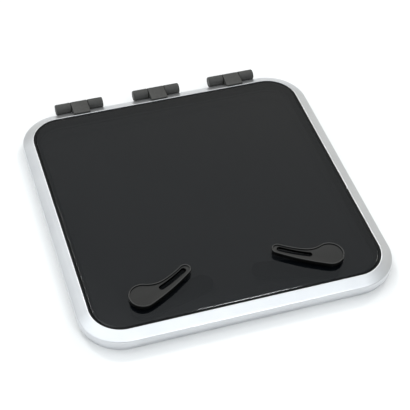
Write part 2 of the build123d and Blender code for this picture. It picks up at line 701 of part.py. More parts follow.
def make_lock_small_pieces():
    """Seals, washers and screws of the locks."""
    centre = (-LOCK_X, LOCK_Y)
    outer_seal = flat_ring(centre, HATCH_TOP, SEAL_THICK, THREAD_RADIUS, OUTER_SEAL_RADIUS)
    save_pair(outer_seal, "lock_outer_seal")
    inner_seal = flat_ring(centre, PANE_BOTTOM - SEAL_THICK, SEAL_THICK, THREAD_RADIUS, INNER_SEAL_RADIUS)
    save_pair(inner_seal, "lock_inner_seal")
    spring_bore = SPINDLE_RADIUS + RUN_CLEARANCE
    spring = flat_ring(centre, INNER_HUB_TOP, SPRING_WASHER_THICK, spring_bore, SPRING_WASHER_RADIUS)
    save_pair(spring, "spindle_spring_washer")
    washer_bottom = SCREW_POCKET_TOP - M5_WASHER_THICK
    washer = flat_ring(centre, washer_bottom, M5_WASHER_THICK, M5_HOLE_RADIUS, M5_WASHER_RADIUS)
    save_pair(washer, "handle_washer")
    head_thick = washer_bottom - INNER_BOTTOM
    screw = socket_screw(
        lock_plane(washer_bottom), M5_HEAD_RADIUS, head_thick, M5_CORE_RADIUS, M5_SCREW_TOP - washer_bottom
    )
    save_pair(screw, "handle_screw")


make_base_frame()
make_keepers()
make_lid_frame()
make_pane()
make_pane_sealant()
make_lid_gasket()
make_hinges()
make_outer_handles()
make_spindles()
make_spindle_seals()
make_inner_handles()
make_lock_bushes()
make_lock_nuts()
make_lock_small_pieces()
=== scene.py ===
"""Looks of the deck hatch: its visible pieces as numpy surfaces, their finishes, the light and the camera.

Shapes are worked out in millimetres, in the frame's own axes (+Z up from the deck, +Y towards
the hinges), and turned to metres when they become meshes. The room is in metres throughout.
"""

import json
import math
import bmesh
import bpy
import numpy as np
from mathutils import Matrix, Vector


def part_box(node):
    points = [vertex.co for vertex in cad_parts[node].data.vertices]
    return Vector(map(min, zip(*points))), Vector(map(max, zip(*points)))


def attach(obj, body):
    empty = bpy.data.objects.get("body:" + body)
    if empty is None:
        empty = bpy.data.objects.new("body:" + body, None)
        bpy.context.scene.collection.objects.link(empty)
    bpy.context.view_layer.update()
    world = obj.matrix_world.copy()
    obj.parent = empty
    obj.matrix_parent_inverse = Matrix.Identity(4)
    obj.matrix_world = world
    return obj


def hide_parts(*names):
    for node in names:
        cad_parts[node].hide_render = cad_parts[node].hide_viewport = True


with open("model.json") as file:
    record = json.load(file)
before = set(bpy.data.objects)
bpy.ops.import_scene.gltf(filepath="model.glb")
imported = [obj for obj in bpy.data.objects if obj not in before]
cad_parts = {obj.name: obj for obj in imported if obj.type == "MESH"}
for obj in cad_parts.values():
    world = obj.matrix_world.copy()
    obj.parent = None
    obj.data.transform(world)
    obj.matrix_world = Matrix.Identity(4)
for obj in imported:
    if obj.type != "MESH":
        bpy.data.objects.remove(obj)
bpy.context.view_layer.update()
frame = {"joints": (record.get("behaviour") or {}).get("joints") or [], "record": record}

MM = 0.001
record = frame["record"]
BODY_OF = {node: body for body, nodes in record["behaviour"]["bodies"].items() for node in nodes}
SLOT_OF = {row["node"]: row["material_slot"] for row in record["subparts"]}
JOINTS = {joint["name"]: joint for joint in frame["joints"]}


def extent(node):
    """Lowest and highest corner of a CAD node, in millimetres."""
    low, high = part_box(node)
    return np.array(low) / MM, np.array(high) / MM


def half_length(node):
    """Half of a CAD node's length along X, in millimetres."""
    low, high = extent(node)
    return (high[0] - low[0]) / 2


# ---------------------------------------------------------------- places taken from the frame
LID_LOW, LID_HIGH = extent("lid_frame")
BASE_HIGH = extent("base_frame")[1]
PANE_LOW, PANE_HIGH = extent("pane")
BEAD_LOW, BEAD_HIGH = extent("pane_sealant")
GASKET_LOW, GASKET_HIGH = extent("lid_gasket")
LID_HALF = LID_HIGH[0]
BASE_HALF = BASE_HIGH[0]
PANE_HALF = PANE_HIGH[0]
POCKET_HALF = BEAD_HIGH[0]
TOP = LID_HIGH[2]
HINGE_Y, HINGE_Z = (np.array(JOINTS["lid_hinge"]["pos_m"]) / MM)[1:]
LOCK_X, LOCK_Y = (np.array(JOINTS["right_handle_turn"]["pos_m"]) / MM)[:2]
LEFT_LOCK = (-LOCK_X, LOCK_Y, 0)
LOCK_SIDES = {"left": -1, "right": 1}
HINGES = {side: sum(b[0] for b in extent(f"hinge_pin_{side}")) / 2 for side in ("left", "centre", "right")}

# ---------------------------------------------------------------- sizes that pieces share, mm
CORNER_CENTRE = 183.0    # middle of each rounded corner, out from the hatch's middle
OPENING_HALF = 219.7     # half of the clear opening
LIP_WIDTH = 1.0          # flat edge between the pane's pocket and the bevel
FOLD_DROP = 7.9          # fall of the bevel from the lip to the lid's side
BEVEL_BULGE = 0.12       # how far the bevel's middle stands proud of a flat, before it is rounded
BEVEL_WALL = 2.5
RIM_WALL = 2.5
BARREL_RADIUS = 9.0      # outside of a hinge knuckle
PIN_RADIUS = 4.0
FRICTION_RADIUS = 5.5    # outside of the friction bush, which fills the middle knuckle
KNUCKLE_START = 15.3     # inner face of an outer knuckle, from the hinge's middle
HEXAGON = 6              # sides
HANDLE_ANGLE = 23.0      # outer handles off the front edge, in degrees
INNER_ANGLE = 13.0       # inner handles off the front edge, in degrees
UP = (0, 0, 1)


# ---------------------------------------------------------------- outlines and sections
def unit(vectors):
    """Vectors scaled to length one."""
    return vectors / np.linalg.norm(vectors, axis=-1, keepdims=True)


def round_corners(corners, radii, steps=6):
    """Closed line whose corners are arcs.

    Each arc leaves its corner's sides at radius / tan(half the angle between them) and turns
    about a centre that lies radius / sin(half that angle) along their bisector.
    """
    corners = np.asarray(corners, float)
    back = unit(np.roll(corners, 1, 0) - corners)
    ahead = unit(np.roll(corners, -1, 0) - corners)
    half = np.arccos(np.clip((back * ahead).sum(1), -1, 1)) / 2
    radii = np.broadcast_to(np.asarray(radii, float), half.shape)
    centre = corners + unit(back + ahead) * (radii / np.sin(half))[:, None]
    start = corners + back * (radii / np.tan(half))[:, None] - centre
    end = corners + ahead * (radii / np.tan(half))[:, None] - centre
    turn = (math.pi - 2 * half)[:, None, None]
    share = np.linspace(0, 1, steps)[None, :, None]
    arcs = (np.sin((1 - share) * turn) * start[:, None] + np.sin(share * turn) * end[:, None]) / np.sin(turn)
    return (centre[:, None] + arcs).reshape(-1, 2)


def square_ring(inside, outside, start, end, edge=0.2, steps=3):
    """Profile of a ring that is square in section, with eased edges."""
    return round_corners([(inside, start), (outside, start), (outside, end), (inside, end)], edge, steps)


def divided(outline, spacing):
    """Closed line with extra points, so that no step is longer than the spacing."""
    following = np.roll(outline, -1, 0)
    counts = np.maximum(1, np.ceil(np.linalg.norm(following - outline, axis=1) / spacing)).astype(int)
    first = np.repeat(np.arange(len(outline)), counts)
    share = (np.arange(counts.sum()) - np.repeat(np.cumsum(counts) - counts, counts)) / counts[first]
    return outline[first] + (following - outline)[first] * share[:, None]


def inset(outline, distance):
    """Closed line moved inwards along its own normals, taken from its neighbouring points."""
    along = unit(np.roll(outline, -1, 0) - np.roll(outline, 1, 0))
    normal = np.stack([along[:, 1], -along[:, 0]], 1)
    x, y = outline[:, 0], outline[:, 1]
    area = (x * np.roll(y, -1) - y * np.roll(x, -1)).sum()
    return outline - normal * distance * np.sign(area)


def circle(radius, angles, centre=(0.0, 0.0)):
    """Points of a circle at the given angles, in radians."""
    return np.stack([centre[0] + radius * np.cos(angles), centre[1] + radius * np.sin(angles)], 1)


def polygon_radius(angles, sides, flat):
    """Distance from the centre to a regular polygon's side, flat away, in each direction."""
    step = 2 * math.pi / sides
    return flat / np.cos(np.mod(angles + step / 2, step) - step / 2)


def edge_steps(low, high, edge, steps=4):
    """(inset, height) pairs up a wall from low to high, with a quarter round at each end."""
    turn = np.linspace(0, math.pi / 2, steps)
    bottom = np.stack([edge * (1 - np.sin(turn)), low + edge * (1 - np.cos(turn))], 1)
    top = np.stack([edge * (1 - np.cos(turn)), high - edge * (1 - np.sin(turn))], 1)
    return np.concatenate([bottom, top])


# ---------------------------------------------------------------- surfaces
def grid(points, wrap_rows=False, capped=False):
    """Shell over a grid of rows of points: each row is a closed line.

    The last row joins the first if wrap_rows is set. Otherwise capped closes each end row
    with one flat face.
    """
    rows, columns = points.shape[:2]
    row = np.arange(rows if wrap_rows else rows - 1)[:, None]
    column = np.arange(columns)[None]
    above, beside = (row + 1) % rows, (column + 1) % columns
    corners = [
        row * columns + column, row * columns + beside,
        above * columns + beside, above * columns + column,
    ]
    faces = np.stack(corners, -1).reshape(-1, 4).tolist()
    if capped:
        faces.append(list(range(columns))[::-1])
        faces.append(list(range((rows - 1) * columns, rows * columns)))
    return points.reshape(-1, 3), faces


def joined(*shells):
    """Several shells as one."""
    starts = np.cumsum([0] + [len(points) for points, _ in shells])
    faces = [[int(start) + i for i in face] for start, (_, some) in zip(starts, shells) for face in some]
    return np.concatenate([points for points, _ in shells]), faces


def carried_round(section):
    """Closed (half width, height) section carried round the hatch's rounded square, with its UVs.

    A point lies (half width - CORNER_CENTRE) out from a centre that runs along a square of
    side 2 * CORNER_CENTRE, in a direction that turns by 90 degrees at each of its corners.
    U is the distance round the lid's edge and V the distance along the section, in metres.
    """
    straight, bend = 14, 26
    centres, angles = [], []
    for quarter in range(4):
        heading = math.radians(90 * quarter - 90)
        facing = np.array([math.cos(heading), math.sin(heading)])
        side = np.array([math.cos(heading + math.pi / 2), math.sin(heading + math.pi / 2)])
        corner = CORNER_CENTRE * (facing + side)
        share = np.arange(straight)[:, None] / straight
        centres += [corner - side * 2 * CORNER_CENTRE * (1 - share), np.repeat(corner[None], bend, 0)]
        angles += [np.full(straight, heading), heading + math.pi / 2 * np.arange(bend) / bend]
    centres, angles = np.concatenate(centres), np.concatenate(angles)
    out = np.stack([np.cos(angles), np.sin(angles)], 1)
    reach = section[:, 0] - CORNER_CENTRE
    flat = centres[:, None] + out[:, None] * reach[None, :, None]
    height = np.broadcast_to(section[:, 1], flat.shape[:2])
    edge = centres + out * (LID_HALF - CORNER_CENTRE)
    steps = np.linalg.norm(np.roll(edge, -1, 0) - edge, axis=1)
    across = np.linalg.norm(np.roll(section, -1, 0) - section, axis=1)
    u = np.concatenate([[0], np.cumsum(steps)]) * MM
    v = np.concatenate([[0], np.cumsum(across)]) * MM
    rows, columns = np.meshgrid(np.arange(len(edge)), np.arange(len(section)), indexing="ij")
    uv = np.stack([
        np.stack([u[rows], v[columns]], -1), np.stack([u[rows], v[columns + 1]], -1),
        np.stack([u[rows + 1], v[columns + 1]], -1), np.stack([u[rows + 1], v[columns]], -1),
    ], 2).reshape(-1, 2)
    points, faces = grid(np.concatenate([flat, height[..., None]], -1), wrap_rows=True)
    return points, faces, uv


def square_to(axis):
    """An axis, with two directions square to it and to each other."""
    axis = np.asarray(axis, float)
    slanting = (0.3, 0.5, 0.8)
    first = unit(np.cross(axis, slanting))
    return axis, first, np.cross(axis, first)


def turned(profile, centre, axis, steps=64, ring=False):
    """Surface of revolution: (radius, height) points carried round an axis through the centre.

    A ring's profile is a closed line clear of the axis. Any other starts and ends on a flat end.
    """
    axis, first, second = square_to(axis)
    angles = np.linspace(0, 2 * math.pi, steps, endpoint=False)
    spokes = np.cos(angles)[:, None] * first + np.sin(angles)[:, None] * second
    profile = np.asarray(profile, float)
    points = np.asarray(centre) + profile[:, None, 1:] * axis + profile[:, None, :1] * spokes[None]
    return grid(points, wrap_rows=ring, capped=not ring)


def placed(loops, heights, origin, right, up, along):
    """Rows of flat (a, b) points at heights, set in space as origin + a right + b up + height along."""
    loops = np.asarray(loops, float)
    right, up, along = (np.asarray(v, float) for v in (right, up, along))
    heights = np.asarray(heights, float)[:, None, None]
    return np.asarray(origin, float) + loops[..., :1] * right + loops[..., 1:] * up + heights * along


def prism(rows, angles, axes, **ends):
    """Shell of (radius, height) rows about an axis, where a radius may change with the angle."""
    loops = [circle(1.0, angles) * np.broadcast_to(radius, angles.shape)[:, None] for radius, _ in rows]
    return grid(placed(loops, [height for _, height in rows], *axes), **ends)


def slab(outline, low, high, edge, axes, hole=None, hole_edge=0.2):
    """Plate of an outline between two heights, with rounded edges and an optional hole.

    The hole is a closed line with a point for each point of the outline.
    """
    wall = edge_steps(low, high, edge)
    loops = [inset(outline, distance) for distance in wall[:, 0]]
    heights = wall[:, 1]
    if hole is not None:
        inner = edge_steps(low, high, hole_edge)[::-1]
        loops += [inset(hole, -distance) for distance in inner[:, 0]]
        heights = np.concatenate([heights, inner[:, 1]])
    points = placed(loops, heights, *axes)
    return grid(points, wrap_rows=hole is not None, capped=hole is None)


def level(x, y, degrees=0.0):
    """Axes of an outline that lies flat at a place on the hatch, turned about it by degrees."""
    turn = math.radians(degrees)
    return (x, y, 0), (math.cos(turn), math.sin(turn), 0), (-math.sin(turn), math.cos(turn), 0), UP


def crosswise(x):
    """Axes of an outline in the hatch's side view, about the hinge axis, carried along +X."""
    return (x, HINGE_Y, HINGE_Z), (0, 1, 0), (0, 0, 1), (1, 0, 0)


def mirrored(shell, side):
    """A left-hand shell, or its mirror image for the right."""
    points, faces = shell
    return points * np.array([-side, 1, 1]), faces


# ---------------------------------------------------------------- meshes and pieces
def to_mesh(shell, name="shell", skin=None):
    """Mesh of a shell, in metres, with doubles merged and faces outwards.

    Skin is the share of painted light at each point: 1 for a painted highlight on a handle's rim,
    0 on a plain moulded face, -1 for painted shade in a recess, on a slot's walls and down the sides.
    """
    same_place = 2e-7
    mesh = bpy.data.meshes.new(name)
    mesh.from_pydata((shell[0] * MM).tolist(), [], shell[1])
    if len(shell) > 2:
        layer = mesh.uv_layers.new(name="along")
        layer.uv.foreach_set("vector", shell[2].astype(np.float32).ravel())
    # The skin attribute holds painted shade and a painted highlight, which the handle finish reads.
    if skin is not None:
        layer = mesh.attributes.new("skin", "FLOAT", "POINT")
        layer.data.foreach_set("value", skin.astype(np.float32))
    work = bmesh.new()
    work.from_mesh(mesh)
    bmesh.ops.remove_doubles(work, verts=work.verts, dist=same_place)
    bmesh.ops.recalc_face_normals(work, faces=work.faces)
    work.to_mesh(mesh)
    work.free()
    return mesh


def combined(mesh, tools, operation):
    """The mesh with other meshes added to it (UNION) or cut out of it (DIFFERENCE)."""
    scene = bpy.context.scene
    body = bpy.data.objects.new("body", mesh)
    scene.collection.objects.link(body)
    helpers = [body]
    for tool in tools:
        helper = bpy.data.objects.new("tool", tool)
        scene.collection.objects.link(helper)
        helpers.append(helper)
        change = body.modifiers.new("change", "BOOLEAN")
        change.operation, change.solver, change.object = operation, "EXACT", helper
    depsgraph = bpy.context.evaluated_depsgraph_get()
    result = bpy.data.meshes.new_from_object(body.evaluated_get(depsgraph), depsgraph=depsgraph)
    for helper in helpers:
        bpy.data.objects.remove(helper)
    return result


def piece(name, mesh, *nodes, sharp=32.0):
    """Finished piece that stands for CAD nodes, on their body and with their slot's finish."""
    obj = bpy.data.objects.new(name, mesh)
    bpy.context.scene.collection.objects.link(obj)
    mesh.shade_smooth()
    mesh.set_sharp_from_angle(angle=math.radians(sharp))
    slot_name = SLOT_OF[nodes[0]]
    mesh.materials.clear()
    mesh.materials.append(FINISHES[slot_name])
    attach(obj, BODY_OF[nodes[0]])
    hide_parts(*nodes)


# ---------------------------------------------------------------- finishes
NOISE_SPAN = (0.3, 0.7)    # the part of its range from 0 to 1 that a noise mostly keeps to
# Span of the skin attribute, from painted shade in a handle's recess to a painted highlight on its rim.
PAINTED_LIGHT_SPAN = (-1.0, 1.0)    # from a handle's recess to its rim


class Finish:
    """A material with one Principled shader and short calls for its nodes."""

    def __init__(self, name, **plain):
        self.material = bpy.data.materials.new(name)
        self.material.use_nodes = True
        self.nodes = self.material.node_tree.nodes
        self.links = self.material.node_tree.links
        self.shader = self.nodes["Principled BSDF"]
        for socket, value in plain.items():
            self.shader.inputs[socket.replace("_", " ")].default_value = value

    def add(self, kind, **settings):
        """New node of a kind, with its settings."""
        node = self.nodes.new(kind)
        for key, value in settings.items():
            setattr(node, key, value)
        return node

    def where(self, source="Object", scale=(1, 1, 1)):
        """Coordinates of the pattern, stretched by the scale."""
        place = self.add("ShaderNodeTexCoord")
        stretch = self.add("ShaderNodeMapping")
        stretch.inputs["Scale"].default_value = scale
        self.links.new(place.outputs[source], stretch.inputs["Vector"])
        return stretch.outputs["Vector"]

    def noise(self, vector, scale, detail=3.0, roughness=0.55):
        """Cloudy noise over the coordinates, from 0 to 1."""
        speckle = self.add("ShaderNodeTexNoise")
        speckle.inputs["Scale"].default_value = scale
        speckle.inputs["Detail"].default_value = detail
        speckle.inputs["Roughness"].default_value = roughness
        self.links.new(vector, speckle.inputs["Vector"])
        return speckle.outputs["Fac"]

    def ranged(self, value, low, high, span=NOISE_SPAN):
        """The value's span stretched to run from low to high."""
        change = self.add("ShaderNodeMapRange")
        for key, number in zip(("From Min", "From Max", "To Min", "To Max"), (*span, low, high)):
            change.inputs[key].default_value = number
        self.links.new(value, change.inputs["Value"])
        return change.outputs["Result"]

    def tinted(self, value, dark, light, span=NOISE_SPAN):
        """Base colour between a dark and a light tone, by the value."""
        ramp = self.add("ShaderNodeValToRGB")
        for stop, position, tone in zip(ramp.color_ramp.elements, span, (dark, light)):
            stop.position, stop.color = position, (*tone, 1)
        self.links.new(value, ramp.inputs["Fac"])
        self.links.new(ramp.outputs["Color"], self.shader.inputs["Base Color"])

    def shaded(self, share):
        """Base colour scaled by a share, 1 leaving it as it is."""
        base = self.shader.inputs["Base Color"]
        scale = self.add("ShaderNodeVectorMath", operation="SCALE")
        self.links.new(base.links[0].from_socket, scale.inputs[0])
        self.links.new(share, scale.inputs["Scale"])
        self.links.new(scale.outputs[0], base)

    def roughened(self, value, low, high, span=NOISE_SPAN):
        """Roughness between low and high, by the value."""
        self.links.new(self.ranged(value, low, high, span), self.shader.inputs["Roughness"])

    def bumped(self, value, strength, distance, beneath=None):
        """Relief from the value, on top of another relief if one is given."""
        bump = self.add("ShaderNodeBump")
        bump.inputs["Strength"].default_value = strength
        bump.inputs["Distance"].default_value = distance
        self.links.new(value, bump.inputs["Height"])
        if beneath:
            self.links.new(beneath, bump.inputs["Normal"])
        self.links.new(bump.outputs["Normal"], self.shader.inputs["Normal"])
        return bump.outputs["Normal"]


def satin_anodised():
    """Etched and anodised extrusion: even satin, with faint die lines along its length."""
    finish = Finish("satin_anodised", Metallic=1.0)
    lines = finish.noise(finish.where("UV", (1.5, 900, 1)), 1.0, 2.0)
    grain = finish.noise(finish.where(), 2600, 2.0)
    cloud = finish.noise(finish.where(), 26, 2.0)
    finish.tinted(cloud, (0.655, 0.665, 0.685), (0.70, 0.71, 0.725))
    finish.roughened(lines, 0.33, 0.42)
    relief = finish.bumped(grain, 0.10, 0.00002)
    finish.bumped(lines, 0.06, 0.00002, relief)
    return finish.material


def smoked_acrylic():
    """Cast acrylic with a neutral smoke tint, and a trace of surface waviness."""
    finish = Finish("smoked_acrylic", IOR=1.49, Alpha=0.77, Specular_IOR_Level=0.6)
    wave = finish.noise(finish.where(), 9, 1.0)
    haze = finish.noise(finish.where(), 60, 3.0)
    finish.tinted(haze, (0.0012, 0.0019, 0.0028), (0.0018, 0.0027, 0.0038))
    finish.roughened(haze, 0.03, 0.06)
    finish.bumped(wave, 0.02, 0.0004)
    return finish.material


def black_sealant():
    """Tooled silicone: black, smooth and a little uneven."""
    finish = Finish("black_sealant", Specular_IOR_Level=0.2)
    ripple = finish.noise(finish.where(), 140, 2.0)
    finish.tinted(ripple, (0.003, 0.003, 0.0032), (0.006, 0.006, 0.006))
    finish.roughened(ripple, 0.55, 0.7)
    finish.bumped(ripple, 0.25, 0.0002)
    return finish.material


def gasket_rubber():
    """Moulded rubber with a matt, finely pitted skin."""
    finish = Finish("gasket_rubber")
    pits = finish.noise(finish.where(), 1800, 3.0)
    bloom = finish.noise(finish.where(), 35, 3.0)
    finish.tinted(bloom, (0.012, 0.012, 0.012), (0.022, 0.022, 0.021))
    finish.roughened(pits, 0.62, 0.8)
    finish.bumped(pits, 0.3, 0.00005)
    return finish.material


def hinge_nylon():
    """Glass-filled nylon: charcoal, spark-textured, with a faint warm mottle."""
    finish = Finish("hinge_nylon")
    texture = finish.noise(finish.where(), 1500, 4.0, 0.65)
    mottle = finish.noise(finish.where(), 220, 3.0)
    finish.tinted(mottle, (0.024, 0.024, 0.0222), (0.038, 0.0375, 0.035))
    finish.roughened(texture, 0.46, 0.66)
    finish.bumped(texture, 0.5, 0.00009)
    return finish.material


def handle_plastic():
    """Moulded black plastic with a satin, lightly textured skin, glossier on a handle's rim, with painted
    shade in its recesses and a painted highlight on the rim.
    """
    finish = Finish("handle_plastic")
    texture = finish.noise(finish.where(), 2200, 3.0)
    flow = finish.noise(finish.where("Object", (18, 18, 60)), 1.0, 3.0)
    finish.tinted(flow, (0.0055, 0.0055, 0.0052), (0.0095, 0.0095, 0.009))
    finish.roughened(texture, 0.34, 0.46)
    finish.bumped(texture, 0.25, 0.00005)
    # Painted light: the skin attribute marks painted shade (-1) in the recess, on the slot's walls and down
    # the sides, and a painted highlight (1) on the rim.
    skin = finish.add("ShaderNodeAttribute", attribute_name="skin").outputs["Fac"]
    # Specular level by the same attribute: none where shade is painted, most on the rim.
    gloss = finish.ranged(skin, 0.0, 0.74, PAINTED_LIGHT_SPAN)
    finish.links.new(gloss, finish.shader.inputs["Specular IOR Level"])
    # Base colour scaled from 0.12 for painted shade up to 1.88 for a painted highlight on the rim.
    finish.shaded(finish.ranged(skin, 0.12, 1.88, PAINTED_LIGHT_SPAN))
    return finish.material


def bush_acetal():
    """Black acetal, faintly waxy."""
    finish = Finish("bush_acetal")
    mottle = finish.noise(finish.where(), 300, 3.0)
    finish.tinted(mottle, (0.010, 0.010, 0.010), (0.018, 0.018, 0.018))
    finish.roughened(mottle, 0.38, 0.5)
    return finish.material


def stainless():
    """Stainless steel with fine turning marks."""
    finish = Finish("stainless", Metallic=1.0)
    marks = finish.noise(finish.where("Object", (300, 300, 2600)), 1.0, 3.0)
    finish.tinted(marks, (0.52, 0.515, 0.50), (0.66, 0.65, 0.63))
    finish.roughened(marks, 0.22, 0.36)
    finish.bumped(marks, 0.12, 0.00003)
    return finish.material


FINISHES = {
    "frame_aluminium": satin_anodised(),
    "smoked_acrylic": smoked_acrylic(),
    "black_sealant": black_sealant(),
    "gasket_rubber": gasket_rubber(),
    "hinge_plastic": hinge_nylon(),
    "handle_plastic": handle_plastic(),
    "bush_plastic": bush_acetal(),
    "stainless_steel": stainless(),
}


# ---------------------------------------------------------------- frame, pane and seals
def bevel_height(half_width, depth=0.0):
    """Height of the lid's bevel at a half width, or of the skin that far beneath it."""
    slope = FOLD_DROP / (LID_HALF - POCKET_HALF - LIP_WIDTH)
    return TOP - FOLD_DROP + (LID_HALF - half_width) * slope - depth * math.hypot(1, slope)


def make_lid_extrusion():
    """Lid section: ledge, pocket, lip, slightly full bevel, fold, skirt and hollow back."""
    skirt_wall, pocket_wall = 3.0, 2.8
    lip_end = POCKET_HALF + LIP_WIDTH
    middle = (lip_end + LID_HALF) / 2
    skirt_inside = LID_HALF - skirt_wall
    pocket_back = POCKET_HALF + pocket_wall
    ledge_low, ledge_high = GASKET_HIGH[2], BEAD_LOW[2]
    bevel_full, bevel_bend = 60, 2.2
    corners = [
        (OPENING_HALF, ledge_low), (OPENING_HALF, ledge_high), (POCKET_HALF, ledge_high),
        (POCKET_HALF, TOP), (lip_end, TOP), (middle + BEVEL_BULGE / 2, bevel_height(middle) + BEVEL_BULGE),
        (LID_HALF, TOP - FOLD_DROP), (LID_HALF, LID_LOW[2]), (skirt_inside, LID_LOW[2]),
        (skirt_inside, bevel_height(skirt_inside, BEVEL_WALL)),
        (pocket_back, bevel_height(pocket_back, BEVEL_WALL)), (pocket_back, ledge_low),
    ]
    radii = [0.5, 0.5, 0.2, 0.5, 1.6, bevel_full, bevel_bend, 0.5, 0.4, 0.8, 0.8, 0.5]
    section = divided(round_corners(corners, radii), spacing=4.0)
    piece("lid_extrusion", to_mesh(carried_round(section)), "lid_frame")


def make_base_extrusion():
    """Base section: flange, low rim and coaming, with countersunk deck screw holes."""
    flange, coaming = 3.0, 3.0
    rim_top, coaming_top = 9.5, BASE_HIGH[2]
    corners = [
        (OPENING_HALF, 0), (BASE_HALF, 0), (BASE_HALF, rim_top), (BASE_HALF - RIM_WALL, rim_top),
        (BASE_HALF - RIM_WALL, flange), (OPENING_HALF + coaming, flange),
        (OPENING_HALF + coaming, coaming_top), (OPENING_HALF, coaming_top),
    ]
    radii = [0.3, 0.3, 0.9, 0.9, 0.6, 0.6, 1.0, 1.0]
    section = divided(round_corners(corners, radii), spacing=4.0)
    row, corner = 232.5, 160.0
    places = [(x, y) for x in (-corner, 0, corner) for y in (-row, row)]
    places += [(x, y) for x in (-row, row) for y in (-corner, 0, corner)]
    hole, sunk, sink_start, clear = 2.75, 5.3, 0.45, 0.6
    countersink = [(hole, -1), (hole, sink_start), (sunk, flange), (sunk, flange + clear)]
    holes = joined(*[turned(countersink, (x, y, 0), UP, 40) for x, y in places])
    mesh = combined(to_mesh(carried_round(section)), [to_mesh(holes)], "DIFFERENCE")
    piece("base_extrusion", mesh, "base_frame")


def make_pane():
    """Pane with a rounded top edge and a lock hole near each front corner.

    Its outline is an arc about each corner's middle. The rows of the grid are that outline at
    (inset, height) steps from the underside, up the edge, over its round and onto the top.
    """
    low, high = PANE_LOW[2], PANE_HIGH[2]
    reach = PANE_HALF - CORNER_CENTRE
    corner_steps = 28
    angles = np.radians(np.arange(0, 360, 90 / corner_steps))
    quarter = np.floor(np.degrees(angles) / 90 + 1e-9) * math.pi / 2 + math.pi / 4
    centres = circle(CORNER_CENTRE * math.sqrt(2), quarter)
    steps, flat = 6, 9
    corners = [(flat, low), (0, low), (0, high - 2.2), (0.9, high - 1.0), (1.9, high), (flat, high)]
    rows = round_corners(corners, [0.1, 0.3, 0.5, 0.5, 0.7, 0.1], steps)[steps:-steps]
    loops = [centres + circle(reach - distance, angles) for distance in rows[:, 0]]
    mesh = to_mesh(grid(placed(loops, rows[:, 1], *level(0, 0)), capped=True))
    bore, clear = 10.2, 2
    cutter = [(bore, low - clear), (bore, high + clear)]
    holes = [turned(cutter, (side * LOCK_X, LOCK_Y, 0), UP, 72) for side in LOCK_SIDES.values()]
    mesh = combined(mesh, [to_mesh(joined(*holes))], "DIFFERENCE")
    piece("smoked_pane", mesh, "pane", sharp=25)


def make_pane_bead():
    """Sealant: a thin bed under the pane and a bead up its edge, tooled slightly hollow."""
    low, high = BEAD_LOW[2], BEAD_HIGH[2]
    middle = (PANE_HALF + POCKET_HALF) / 2
    hollow, edge = high - 1.3, high - 1.6
    bed_start, bed_top_start = OPENING_HALF + 0.8, OPENING_HALF + 0.3
    corners = [
        (bed_start, low), (POCKET_HALF, low), (POCKET_HALF, high), (middle, hollow),
        (PANE_HALF, edge), (PANE_HALF, PANE_LOW[2]), (bed_top_start, PANE_LOW[2]),
    ]
    section = divided(round_corners(corners, [0.1, 0.1, 0.15, 2.0, 0.15, 0.1, 0.1]), spacing=5.0)
    piece("pane_bead", to_mesh(carried_round(section)), "pane_sealant")


def make_gasket():
    """Gasket: a flat-backed strip over a slightly narrower bulb that meets the coaming."""
    low, high = GASKET_LOW[2], GASKET_HIGH[2]
    inner, outer = OPENING_HALF, GASKET_HIGH[0]
    strip, waist, narrower = high - 0.8, high - 1.1, 0.7
    corners = [
        (inner, high), (inner, strip), (inner + narrower, waist), (inner + narrower, low),
        (outer - narrower, low), (outer - narrower, waist), (outer, strip), (outer, high),
    ]
    section = divided(round_corners(corners, [0.1, 0.2, 0.2, 1.6, 1.6, 0.2, 0.2, 0.1]), spacing=3.0)
    piece("gasket_bulb", to_mesh(carried_round(section)), "lid_gasket")


# ---------------------------------------------------------------- hinges
def barrel_arc(start, end, steps=40):
    """Points of the barrel's circle about the hinge axis, angles in degrees."""
    return circle(BARREL_RADIUS, np.radians(np.linspace(start, end, steps)))


def matching_circle(outline, radius):
    """Circle about the hinge axis with a point for each outline point, never turning back."""
    angles = np.unwrap(np.arctan2(outline[:, 1], outline[:, 0]))
    return circle(radius, np.maximum.accumulate(angles) + np.arange(len(angles)) * 1e-6)


def make_hinge_bracket(side, x):
    """Foot under the lid's skirt, a low web right across, and a leg up to each outer knuckle.

    Each knuckle is a ring turned about the hinge axis. The leg's top lies inside that ring and
    its lower end inside the web, so nothing shows where the shells pass through each other.
    """
    low = extent(f"hinge_base_{side}")[0]
    half = half_length(f"hinge_base_{side}")
    edge, hidden = 0.7, 0.05
    back, front, foot = 257.0 - HINGE_Y, 251.0 - HINGE_Y, low[1] - HINGE_Y
    bottom, foot_top, web_top = low[2] - HINGE_Z, 11.3 - HINGE_Z, 14.5 - HINGE_Z
    corners = [
        (front, web_top), (front, foot_top), (foot, foot_top),
        (foot, bottom), (back, bottom), (back, web_top),
    ]
    web = divided(round_corners(corners, [0.7, 0.3, 0.8, 0.8, 0.8, 0.7]), spacing=2.0)
    shells = [slab(web, -half + hidden, half - hidden, edge, crosswise(x))]
    leg_front, leg_back, back_top = front + hidden, back - hidden, -5.0
    corners = [(leg_front, 0), (leg_front, foot_top), (leg_back, foot_top), (leg_back, back_top)]
    leg = divided(round_corners(corners, 0.3, 3), spacing=1.6)
    for start, end in ((-half, -KNUCKLE_START), (KNUCKLE_START, half)):
        ring = [(PIN_RADIUS, start), (BARREL_RADIUS, start), (BARREL_RADIUS, end), (PIN_RADIUS, end)]
        ring = round_corners(ring, [0.2, edge, edge, 0.2], 5)
        shells.append(turned(ring, (x, HINGE_Y, HINGE_Z), (1, 0, 0), 72, ring=True))
        shells.append(slab(leg, start + 2 * hidden, end - 2 * hidden, edge, crosswise(x)))
    piece(f"hinge_bracket_{side}", to_mesh(joined(*shells)), f"hinge_base_{side}")


